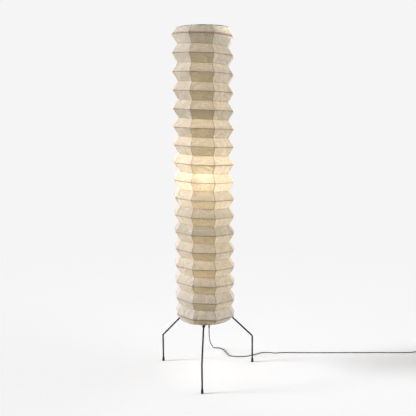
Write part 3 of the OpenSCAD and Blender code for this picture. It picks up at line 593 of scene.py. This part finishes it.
def cord_route():
    """The cord's middle line, from the strain relief through the switch to the plug."""
    step_x = Vector((CORD_D, 0, 0))
    switch_in = Vector((SWITCH_X, SWITCH_Y, ENTRY_Z))
    switch_out = Vector((SWITCH_X + SWITCH_LEN, SWITCH_Y, ENTRY_Z))
    coil = [coil_point(k / COIL_STEPS) for k in range(int(COIL_TURNS * COIL_STEPS) + 1)]
    coil_start = Vector((COIL_X, SWITCH_Y, COIL_Z)) - step_x
    coil_exit = coil[-1] - step_x
    plug = Vector((coil_exit.x - TAIL_LEN, coil_exit.y, LOW_Z))
    run = ([GLAND_MOUTH, GLAND_MOUTH - Vector((0, 0, CORD_D))]
           + spline([Vector(p) / 1000 for p in RUN], RUN_STEPS) + [switch_in - step_x, switch_in])
    link = [switch_out] + spline([switch_out + step_x,
                                  Vector((switch_out.x + LINK_DROP, SWITCH_Y, LOW_Z)),
                                  coil_start - step_x], LINK_STEPS)
    tail = spline([coil_exit - step_x, plug + step_x], LINK_STEPS) + [plug]
    return run + link + [coil_start] + coil + [coil_exit] + tail


cord_path = cord_route()
cord = tube("mains_cord", cord_path, CORD_D / 2, CORD_SIDES)
cord.data.materials.append(LOOK["cord_sheath"])
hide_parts("cord_run", "cord_link", "cord_coil", "cord_tail")
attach(cord, "stand")

# ---------------------------------------------------------------- floor
# The floor takes light and shadow near the lamp. Further than FADE_FROM from the middle it
# fades to an even glow, which is all there is from FADE_TO.
PALE, FLOOR_GLOW = 0.913, 0.222
FADE_FROM, FADE_TO = 1.4, 3.6
FLOOR_FRONT, FLOOR_BACK, FLOOR_SIDE = -14.0, 5.0, 14.0
SWEEP_R, SWEEP_ARC, WALL_TOP = 3.0, 6, 12.0


def floor_material():
    n = Nodes(bpy.data.materials.new("floor"))
    far = n.add("ShaderNodeVectorMath", {"operation": "LENGTH"}, i0=n.where())
    fade = n.ramp(far.outputs["Value"], FADE_FROM, FADE_TO)
    tone = n.mix(n.noise(3.0, 2.0), rgb(0.929, 0.909, 0.875), rgb(0.949, 0.929, 0.895))
    lit = n.add("ShaderNodeBsdfDiffuse", Color=n.mix(fade, tone, rgb(0.0, 0.0, 0.0)))
    glow = n.add("ShaderNodeEmission", Strength=n.ramp(fade, 0.0, 1.0, FLOOR_GLOW, PALE))
    return n.show(n.add_shader(lit.outputs[0], glow.outputs[0]))


# The floor's section from front to back, as (y, z): flat, a round sweep, then a wall
profile = [(FLOOR_FRONT, 0.0), (FLOOR_BACK, 0.0)]
for degrees in range(SWEEP_ARC, 91, SWEEP_ARC):
    a = math.radians(degrees)
    profile.append((FLOOR_BACK + SWEEP_R * math.sin(a), SWEEP_R - SWEEP_R * math.cos(a)))
profile.append((FLOOR_BACK + SWEEP_R, WALL_TOP))
floor = add_mesh("floor", [(x, y, z) for y, z in profile for x in (-FLOOR_SIDE, FLOOR_SIDE)],
                 [(2 * k, 2 * k + 1, 2 * k + 3, 2 * k + 2) for k in range(len(profile) - 1)])
floor.data.materials.append(floor_material())
floor.visible_diffuse = False
floor.visible_glossy = False

# ---------------------------------------------------------------- light
KEY_POWER, KEY_COLOUR, KEY_WIDTH = 4.95, (0.96, 1.0, 1.10), math.radians(15)
KEY_DIRECTION = Vector((0.992, 0.085, -0.26))
# Light that the paper's inner side sends on up and down the shade, in warm soft balls of
# this radius, at these heights with these powers
SPREAD_R, SPREAD_COLOUR = 0.06, (1.0, 0.84, 0.50)
SPREAD = ((0.60, 0.24), (0.85, 0.22), (1.42, 0.22), (1.72, 0.08))
# The room's light from the left, from the right and from behind, with the parts of a
# direction's X or Y from which it starts and at which it is full. None comes from the front.
ROOM = (("X", -0.47, -1.0, (0.22, 0.24, 0.28)), ("X", 0.47, 1.0, (3.05, 3.15, 3.36)),
        ("Y", 0.2, 0.9, (0.5, 0.44, 0.33)))


def add_light(name, kind, power, colour):
    light = bpy.data.lights.new(name, kind)
    light.energy = power
    light.color = colour
    return add_object(name, light)


def room_world():
    n = Nodes(bpy.data.worlds.new("studio"), "ShaderNodeOutputWorld")
    ray = n.add("ShaderNodeTexCoord").outputs["Generated"]
    parts = n.add("ShaderNodeSeparateXYZ", i0=ray)
    total = (0.0, 0.0, 0.0)
    for side, start, full, colour in ROOM:
        share = n.ramp(parts.outputs[side], start, full)
        tinted = n.add("ShaderNodeVectorMath", {"operation": "SCALE"}, i0=colour, Scale=share)
        total = n.add("ShaderNodeVectorMath", i0=total, i1=tinted.outputs[0]).outputs[0]
    # Seen directly, the room is as pale as the far floor on every side
    seen = n.add("ShaderNodeLightPath").outputs["Is Camera Ray"]
    background = n.add("ShaderNodeBackground", Color=n.mix(seen, total, rgb(*grey(PALE))))
    return n.show(background.outputs[0])


key = add_light("key", "SUN", KEY_POWER, KEY_COLOUR)
key.data.angle = KEY_WIDTH
key.rotation_euler = KEY_DIRECTION.to_track_quat("-Z", "Y").to_euler()
for height, power in SPREAD:
    spread = add_light("spread", "POINT", power, SPREAD_COLOUR)
    spread.data.shadow_soft_size = SPREAD_R
    spread.location = AXIS + Vector((0, 0, height))
    spread.visible_camera = False
bpy.context.scene.world = room_world()
bpy.context.scene.view_settings.view_transform = "Standard"
